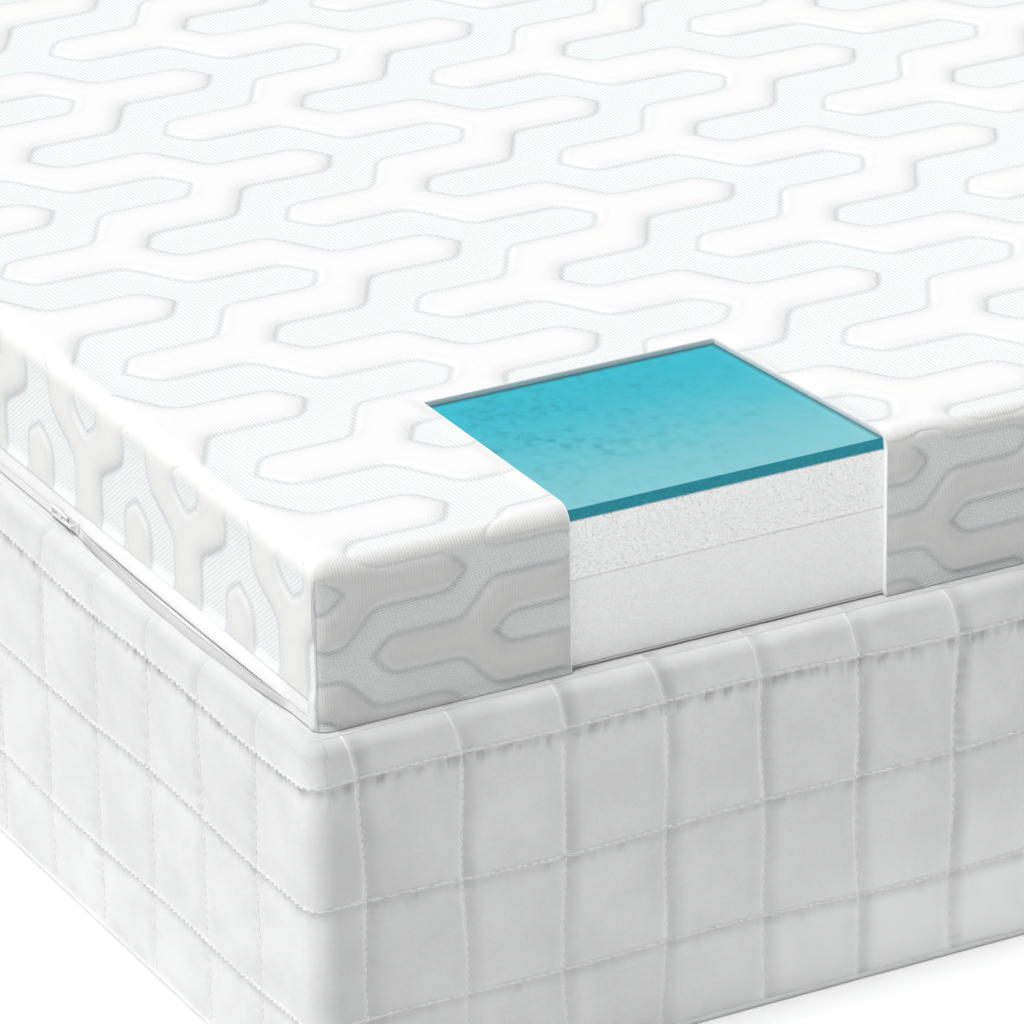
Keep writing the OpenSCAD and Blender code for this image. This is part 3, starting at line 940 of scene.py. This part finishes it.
def ridge_at(distance, before, after):
    """Ridge of pinched cloth on a seam: steep before it, and easing off past it."""
    return np.exp(-(np.abs(distance) / np.where(distance < 0, before, after)) ** 1.5)


def nearest(past, to_next):
    """Signed distance to the nearer of two seams: positive past the first, negative before the next."""
    return np.where(past < to_next, past, -to_next)


def quilt_cell(s, z):
    """The quilt cell at arc length s and unrolled height z: its number, level and edges."""
    k = np.searchsorted(SEAMS, s, side="right") - 1
    k = np.where(s < seam_line(k, z), k - 1, k)
    k = np.where(s >= seam_line(k + 1, z), k + 1, k)
    rows = [row_line(i, s) for i in range(5)]
    level = sum((z >= row).astype(int) for row in rows[1:-1])
    return (k % len(SEAMS), level, seam_line(k, z), seam_line(k + 1, z),
            np.choose(level, rows[:-1]), np.choose(level, rows[1:]))


def rumpled(s):
    """How much more the border is rumpled, from 0 by the near corner to 1 along the near side."""
    return smoothstep((s - 0.2) / 0.3) * (s < BASE_L)


def seam_marks(s, z):
    """Signed distances past the upright seam and below the row, how strongly each one's painted shade
    and highlight show, and how much the row puckers.
    """
    _, level, left, right, bottom, top = quilt_cell(s, z)
    mirrored = s > HALF_WAY
    past = nearest(s - left, right - s) * np.where(mirrored, -1, 1)
    below = nearest(np.where(level < 3, top - z, 1), np.where(level > 0, z - bottom, 1))
    upright, row = (smoothstep((22 * MM - np.abs(off)) / (6 * MM)) for off in (past, below))
    upright = upright * np.choose(level, [0.5, 0.6, 0.8, 0.9])
    # Painted fold shade is stronger along the rumpled near side and weaker on the far half
    upright = upright * np.where(mirrored, 0.38, 1 + 0.5 * rumpled(s))
    return past, below, upright, row, np.choose(level, [0.25, 0.45, 1.0, 0.0])


def quilt_shift(s, z):
    """Displacement of the border cloth at arc length s and unrolled height z: along, up, out."""
    k, level, left, right, bottom, top = quilt_cell(s, z)
    past, below, _, _, puckered = seam_marks(s, z)
    cell = (k * 7 + level * 5) % (2 * len(TILE))
    along, up, out = tile_shift(cell, (s - left) / (right - left), (z - bottom) / (top - bottom))
    rumple = rumpled(s)

    # Pinched cloth on the seams and rows
    upright = np.choose(level, [0.9, 1.1, 1.3, 1.2]) * np.where(s > HALF_WAY, 0.55, 1.0)
    upright = upright * (0.8 + 0.2 * np.sin(z * 60 + k * 1.3)) * ridge_at(past, 2.6 * MM, 8 * MM)
    upright = upright * smoothstep((BASE_H + 2 * MM - z) / (14 * MM))
    ridge = np.maximum(upright, ridge_at(below, 5 * MM, 2.2 * MM))

    # Gathers under the rows, wrinkles beside the seams, and the stitches' pull
    gather = np.sin(around(s, 11 * MM) + 3 * np.sin(around(s, 0.146)) + level * 2)
    gather = np.clip(gather, -0.1, 1) * puckered * bell(below, 4.5 * MM, 4 * MM)
    wrinkle = np.sin(z * 2 * math.pi / (9 * MM) + 2 * np.sin(z * 47 + k))
    wrinkle = wrinkle * (0.35 + 0.35 * rumple) * bell(past, 4 * MM, 4 * MM)
    stitch = bell(past, 0.9 * MM) + bell(below, 0.9 * MM)

    # Slow creases and finer ripples across the cells
    crease = np.sin(around(s, 88 * MM) + 3 * np.sin(z * 37))
    crease = crease * np.sin(z * 53 + 2 * np.sin(around(s, 0.33)))
    ripple = np.sin(around(s, 39 * MM) + 90 * z + 2.5 * np.sin(z * 41 + k) + level)
    ripple = ripple * np.sin(around(s, 0.11) - 38 * z + 1.7 * k)
    crease = 0.6 * crease + (0.22 + 0.3 * rumple) * ripple
    crease = crease * smoothstep(np.abs(past) / (12 * MM)) * smoothstep(np.abs(below) / (12 * MM))

    out = out * np.choose(level, [0.9, 1.0, 1.0, 0.3]) - 0.5 * CROWN
    out = out + (ridge - 1.3 * gather - wrinkle - 0.25 * stitch + crease) * MM
    settle = smoothstep((SIDE_TOP + 4 * MM - z) / (12 * MM)) * smoothstep(z / (6 * MM))
    return along * settle, up * settle, out * settle


def border_point(s, z):
    """Point, outward normal and upward tangent of the border's base surface."""
    place, out = OUTLINE.at(s)
    turn = np.clip((z - (BASE_H - SHOULDER_R)) / SHOULDER_R, 0, math.pi / 2)
    inset = SHOULDER_R * (1 - np.cos(turn)) + np.maximum(z - SIDE_TOP, 0)
    reach = np.stack([BASE_L / 2 - inset, BASE_W / 2 - inset], -1)
    height = np.minimum(z, BASE_H - SHOULDER_R) + SHOULDER_R * np.sin(turn)
    place = np.clip(place - out * inset[..., None], -reach, reach)
    point = np.concatenate([place, height[..., None]], -1)
    sideways = np.concatenate([out, np.zeros((*s.shape, 1))], -1)
    cos, sin = np.cos(turn)[..., None], np.sin(turn)[..., None]
    return point, sideways * cos + UP * sin, UP * cos - sideways * sin


def quilted_point(s, z):
    """Point on the finished border cloth, and its normal."""
    point, normal, rise = border_point(s, z)
    along, up, out = (shift[..., None] for shift in quilt_shift(s % OUTLINE.length, z))
    return point + unit(np.cross(UP, normal)) * along + rise * up + normal * out, normal


def lines_at(start, marks, end, step):
    """Grid positions from start to end, with close lines on both sides of every mark."""
    stops = [(mark + offset * MM, step(mark)) for mark in marks for offset in (-3, -1.2, 0, 1.2, 3)]
    return spans(start, *stops, (end, step(end)))


def follow_seams(s, z):
    """Bends a straight grid so that its lines lie along the drifting seams."""
    drift = np.array([row_drift(i, s[0]) for i in range(5)])
    level = np.clip(np.searchsorted(ROW_HEIGHTS, z, side="right") - 1, 0, 3)
    share = (z - ROW_HEIGHTS[level]) / (ROW_HEIGHTS[level + 1] - ROW_HEIGHTS[level])
    column = np.arange(s.shape[1])[None, :]
    z = z + drift[level, column] * (1 - share) + drift[level + 1, column] * share
    k = np.searchsorted(SEAMS, s % OUTLINE.length, side="right") - 1
    share = (s % OUTLINE.length - seam_place(k)) / (seam_place(k + 1) - seam_place(k))
    return s + seam_drift(k, z) * (1 - share) + seam_drift(k + 1, z) * share, z


def make_border():
    shown = 740 * MM
    end = SEAMS[len(SEAMS) // 2]
    marks = np.roll(np.where(SEAMS < end, SEAMS, SEAMS - OUTLINE.length), len(SEAMS) // 2)
    s = lines_at(end - OUTLINE.length, marks[1:], end, lambda at: FINE if abs(at) < shown else COARSE)
    z = lines_at(1.2 * MM, ROW_HEIGHTS[1:-1], ROW_HEIGHTS[-1], lambda at: FINE)
    s, z = follow_seams(*np.meshgrid(s, z))
    past, below, upright, row, puckered = seam_marks(s % OUTLINE.length, z)
    # seam_share carries how strongly the painted seam shade and highlight show
    border = mesh_object("quilted_border", quilted_point(s, z)[0], grid_quads(*s.shape)[:, ::-1],
                         QUILT, "base_tier", "quilted_border_cloth", "border_quilt_cloth",
                         attributes=[("cloth", np.stack([s, z, 0 * s], -1)),
                                     ("seam", np.stack([past, below, puckered], -1)),
                                     ("seam_share", np.stack([upright, row, 0 * s], -1))])


def make_stitches():
    """Dashes of thread along every seam and row, half sunk in the cloth."""
    pitch = 5.2 * MM
    s = np.arange(0, OUTLINE.length, pitch / 2)
    z = np.arange(6 * MM, BASE_H - 18 * MM, pitch / 2)
    lines = [(s, row_line(i, s)) for i in (1, 2, 3)]
    lines += [(seam_line(k, z), z) for k in range(len(SEAMS))]
    places, ahead, normals = [], [], []
    for line in lines:
        point, normal = quilted_point(*line)
        start, end, normal = point[:-1:2], point[1::2], normal[:-1:2]
        places.append((start + end) / 2 + normal * 0.25 * MM)
        ahead.append(end - start)
        normals.append(normal)
    x_axis = unit(np.concatenate(ahead))
    y_axis = unit(np.cross(np.concatenate(normals), x_axis))
    axes = np.stack([x_axis, y_axis, np.cross(x_axis, y_axis)], 1)
    shape, quads = capsule(3.3 * MM, 0.45 * MM)
    points, quads = copies(shape @ axes, quads, np.concatenate(places))
    mesh_object("quilting_stitches", points, quads, THREAD, "base_tier", "quilted_border_cloth")


def ring_piece(name, node, z, width, rise, surface):
    """A rounded tape or welt swept round the base at unrolled height z, proud of the cloth."""
    turn = np.arange(10) * math.pi / 5
    s, z = np.meshgrid(spans(0.0, (OUTLINE.length, 6 * MM))[:-1], z + width / 2 * np.cos(turn))
    point, normal = surface(s, z)[:2]
    points = point + normal * (rise * np.sin(turn))[:, None, None]
    mesh_object(name, points, grid_quads(*s.shape, closed=True, ring=True), BINDING, "base_tier",
                "edge_tape", node)


def make_base_inside():
    """Wadding and lining behind the border, the foams, and the bottom cloth."""
    s, z = np.meshgrid(spans(0.0, (OUTLINE.length, 12 * MM))[:-1],
                       spans(3 * MM, (SIDE_TOP - 3 * MM, 10 * MM)))
    point, normal, _ = border_point(s, z)
    quads = grid_quads(*s.shape, closed=True)[:, ::-1]
    puff = 0.5 * MM * np.sin(s * 90) * np.sin(z * 82)
    pad = mesh_object("border_wadding_pad", point + normal * (puff - 7.4 * MM)[..., None], quads,
                      WADDING, "base_tier", "wadding", "border_wadding")
    band = mesh_object("border_lining_band", point - normal * 9.4 * MM, quads, PLAIN_CLOTH,
                       "base_tier", "lining", "border_lining")
    for name, node, material, slot, edge_r, shrink, lower_top, fill in (
            ("support_core", "base_support_foam", CORE_FOAM, "base_support_foam", 2 * MM, 0, 0, 1.0),
            ("comfort_core", "base_comfort_foam", MEMORY_FOAM, "base_comfort_foam", 2 * MM, 0, 0, 1.0),
            ("top_wadding_pad", "base_top_wadding", WADDING, "wadding", 2.5 * MM, 7 * MM, 3.5 * MM,
             0.5)):
        rounded_box(name, node, material, slot, edge_r=edge_r, body="base_tier",
                              shrink=shrink, lower_top=lower_top)
    panel = rounded_box("bottom_panel", "base_bottom_cloth", PLAIN_CLOTH, "bottom_cloth",
                        corner_r=BASE_CORNER_R - 3 * MM, edge_r=0.5 * MM, body="base_tier")


def make_top_cloth():
    """Quilted top of the base tier, under the topper."""
    inset = SHOULDER_R + TURN_IN - 2 * MM
    squares = 76 * MM
    x, y = np.meshgrid(*(spans(inset - size / 2, (size / 2 - inset, 8 * MM))
                         for size in (BASE_L, BASE_W)))
    seam = np.minimum(np.abs((x / squares) % 1 - 0.5), np.abs((y / squares) % 1 - 0.5)) * squares
    edge = np.minimum(BASE_L / 2 - np.abs(x), BASE_W / 2 - np.abs(y)) - inset
    valley = 2.6 * MM * np.exp(-(seam / (9 * MM)) ** 1.3) * smoothstep(edge / (30 * MM))
    points = np.stack([x, y, BASE_H - 0.15 * MM - valley], -1)
    cloth = mesh_object("quilted_top", points, grid_quads(*x.shape)[:, ::-1], TOP_CLOTH,
                        "base_tier", "quilted_top_cloth", "base_top_cloth")


make_border()
make_stitches()
make_base_inside()
ring_piece("bottom_welt", "bottom_edge_tape", 1.6 * MM, 3.2 * MM, 1.3 * MM, border_point)
ring_piece("top_binding", "top_edge_tape", SIDE_TOP + 2 * MM, 3 * MM, 0.3 * MM, quilted_point)
make_top_cloth()


# ---------------------------------------------------------------- zip along the foot
TAPE_END = COVER_T
TOOTH_PITCH = 2.5 * MM
MOUTH_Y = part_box("zip_slider")[0].y - CORNER[1]
SHUT_Y = 34 * MM                # the tapes meet again just short of the near corner

# Sections of the tapes and places of the tooth rows as (x, z) in mm, shut and fully open
UPPER_SHUT = [(3.0, 22.5), (2.2, 20), (1.0, 18.3), (0.85, 14), (0.8, 10), (0.85, 6.6), (1.0, 5.7),
              (1.4, 5.55)]
UPPER_OPEN = [(3.0, 22.5), (2.0, 20), (0.4, 18.3), (-0.1, 13.5), (-0.4, 9.5), (-0.5, 6.2),
              (-0.3, 5.2), (0.2, 5.05)]
LOWER_SHUT = [(1.4, 5.3), (1.0, 5.2), (0.85, 4.4), (0.8, 3), (0.5, 1.5), (0.1, 0.6), (0.6, 0.15),
              (4.5, 0.2)]
LOWER_OPEN = [(-1.6, 2.5), (-2.3, 2.55), (-3.3, 2.3), (-4.6, 1.4), (-5.6, 0.1), (-6.1, -1.0),
              (-4.6, -0.9), (4.5, 0.1)]
FACING_SHUT = [(3.2, 9), (3.1, 6), (3.0, 3), (3.0, 1), (3.4, 0.4)]
FACING_OPEN = [(3.2, 9), (2.2, 6), (1.0, 3.2), (-0.4, 1.7), (-1.5, 1.5)]
UPPER_TOOTH = [(1.5, 5.45)], [(0.3, 4.5)]
LOWER_TOOTH = [(1.5, 5.55)], [(-1.3, 2.9)]


def zip_gape(ys):
    """How far the zip gapes, from 0 where it is shut to 1 in the middle of the open part."""
    share = np.clip((ys - SHUT_Y) / (MOUTH_Y - SHUT_Y), 0, 1)
    return np.sin(math.pi * share) ** 0.75


def along_zip(ys, shut, open_):
    """A section swept along the zip. It turns from shut to open_ as the zip gapes."""
    shut, open_ = (np.array(section)[:, None] * MM for section in (shut, open_))
    x, z = np.moveaxis(shut + (open_ - shut) * zip_gape(ys)[:, None], -1, 0)
    return np.stack([x, np.broadcast_to(ys, x.shape), z], -1) + CORNER


def swept_strip(name, node, ys, shut, open_, material, slot, thickness):
    """A tape along the foot, with a slight ripple."""
    points = along_zip(ys, shut, open_)
    points[..., 0] += 0.12 * MM * np.sin(ys * 55) * np.sin(ys * 23 + 1)
    gape = np.broadcast_to(zip_gape(ys), points.shape[:2])
    tape = mesh_object(name, points, grid_quads(*gape.shape)[:, ::-1], material, "topper", slot,
                       node, attributes=[("gape", gape)])
    thicken(tape, thickness, -1)


def make_teeth(name, node, row, phase, material):
    ys = np.arange(TAPE_END + 7 * MM, TOPPER_W - TAPE_END - 8 * MM, TOOTH_PITCH)
    ys = ys + phase * TOOTH_PITCH
    shape, quads = capsule(1.7 * MM, 0.5 * MM)
    points, quads = copies(shape[:, [1, 2, 0]] * (1, 1.1, 1), quads, along_zip(ys, *row)[0])
    mesh_object(name, points, quads, material, "topper", "zip_teeth", node)


def make_zip():
    ys = spans(TAPE_END, (MOUTH_Y + 30 * MM, 4 * MM), (TOPPER_W - TAPE_END, 12 * MM))
    swept_strip("zip_tape_over", "zip_tape_upper", ys, UPPER_SHUT, UPPER_OPEN, TAPE_WHITE,
                "zip_tape_white", 0.35 * MM)
    swept_strip("zip_tape_under", "zip_tape_lower", ys, LOWER_SHUT, LOWER_OPEN, SHADED_TAPE,
                "zip_tape_grey", 0.35 * MM)
    swept_strip("zip_facing", None, ys, FACING_SHUT, FACING_OPEN, TAPE_WHITE, "zip_tape_white",
                0.3 * MM)
    make_teeth("zip_teeth_over", "zip_teeth_upper", UPPER_TOOTH, 0.0, SHADED_TEETH)
    make_teeth("zip_teeth_under", "zip_teeth_lower", LOWER_TOOTH, 0.5, PALE_TEETH)
    for node in ("zip_slider", "zip_pull", "zip_top_stops", "zip_bottom_stop"):
        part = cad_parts[node]
        part.data.materials.clear()
        part.data.materials.append(ENAMEL)
        rounding = part.modifiers.new("rounding", "BEVEL")
        rounding.width = 0.22 * MM
        rounding.segments = 2
        rounding.limit_method = "ANGLE"


make_zip()


# ---------------------------------------------------------------- floor
def make_floor():
    reach = 40
    mesh = bpy.data.meshes.new("floor")
    mesh.from_pydata([(x * reach, y * reach, quilt_lo.z - 1.5 * MM) for x, y in
                      ((-1, -1), (1, -1), (1, 1), (-1, 1))], [], [(0, 1, 2, 3)])
    mesh.materials.append(floor_material())
    floor = bpy.data.objects.new("floor", mesh)
    scene.collection.objects.link(floor)


make_floor()
